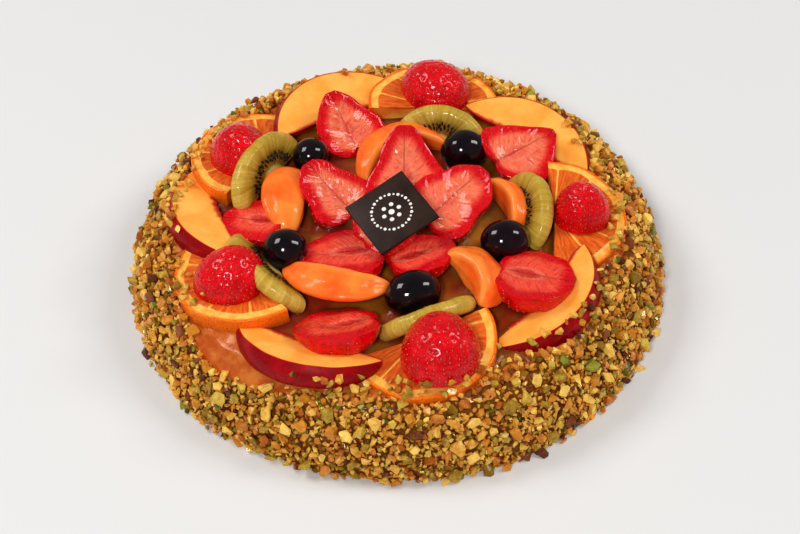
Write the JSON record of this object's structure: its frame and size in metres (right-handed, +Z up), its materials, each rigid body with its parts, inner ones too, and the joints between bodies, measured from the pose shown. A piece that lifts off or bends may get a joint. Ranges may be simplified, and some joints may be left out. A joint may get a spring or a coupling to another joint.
{
  "type": "fruit tart",
  "caption": "Round low fruit tart: glazed cut fruit laid in rings over a cream-topped cake, side coated in chopped nuts, dark chocolate tag at the centre.",
  "frame": {"origin": "middle of the tart's flat underside, on the table", "axes": "+Z up through the tart; -Y is the front, from which it is first seen; +X to the right"},
  "size_m": [0.2661, 0.2662, 0.0663],
  "materials": {
    "sponge_and_glaze": "pale sponge and cream under amber and peach-pink fruit jelly, glossy and uneven",
    "chopped_nuts": "toasted chopped pistachios, yellow-tan with green and purple-brown skins, matte with glazed spots",
    "dark_chocolate": "tempered dark chocolate, satin, with a pale printed ring",
    "orange_slices": "orange flesh in segments, pale pith and bright rind, under clear glaze",
    "peach_slices": "yellow-orange flesh stained red at the stone, dark red skin, under clear glaze",
    "kiwi_slices": "translucent olive-green flesh with fine rays and black seeds, under clear glaze",
    "apricot_slices": "smooth soft orange flesh under clear glaze",
    "dark_grapes": "almost black skin with a mirror-like glaze",
    "strawberry_skin": "deep red dimpled skin with pale seeds, wet with glaze",
    "strawberry_flesh": "pink to red cut flesh with pale fibres and a red rim, wet with glaze"
  },
  "bodies": {
    "root": {"cake": "sponge_and_glaze", "nut_coat": "chopped_nuts", "chocolate_tag": "dark_chocolate", "orange_slice_1": "orange_slices", "orange_slice_2": "orange_slices", "orange_slice_3": "orange_slices", "orange_slice_4": "orange_slices", "orange_slice_5": "orange_slices", "peach_slice_1": "peach_slices", "peach_slice_2": "peach_slices", "peach_slice_3": "peach_slices", "peach_slice_4": "peach_slices", "peach_slice_5": "peach_slices", "kiwi_slice_1": "kiwi_slices", "kiwi_slice_2": "kiwi_slices", "kiwi_slice_3": "kiwi_slices", "kiwi_slice_4": "kiwi_slices", "kiwi_slice_5": "kiwi_slices", "apricot_slice_1": "apricot_slices", "apricot_slice_2": "apricot_slices", "apricot_slice_3": "apricot_slices", "apricot_slice_4": "apricot_slices", "apricot_slice_5": "apricot_slices", "grape_1": "dark_grapes", "grape_2": "dark_grapes", "grape_3": "dark_grapes", "grape_4": "dark_grapes", "grape_5": "dark_grapes", "strawberry_1": "strawberry_skin", "strawberry_2": "strawberry_skin", "strawberry_3": "strawberry_skin", "strawberry_4": "strawberry_skin", "strawberry_5": "strawberry_skin", "strawberry_half_1": "strawberry_flesh", "strawberry_half_2": "strawberry_flesh", "strawberry_half_3": "strawberry_flesh", "strawberry_half_4": "strawberry_flesh", "strawberry_half_5": "strawberry_flesh", "strawberry_half_6": "strawberry_flesh", "strawberry_half_7": "strawberry_flesh", "strawberry_half_8": "strawberry_flesh", "strawberry_half_9": "strawberry_flesh", "strawberry_half_10": "strawberry_flesh", "strawberry_half_11": "strawberry_flesh"}
  },
  "joints": []
}
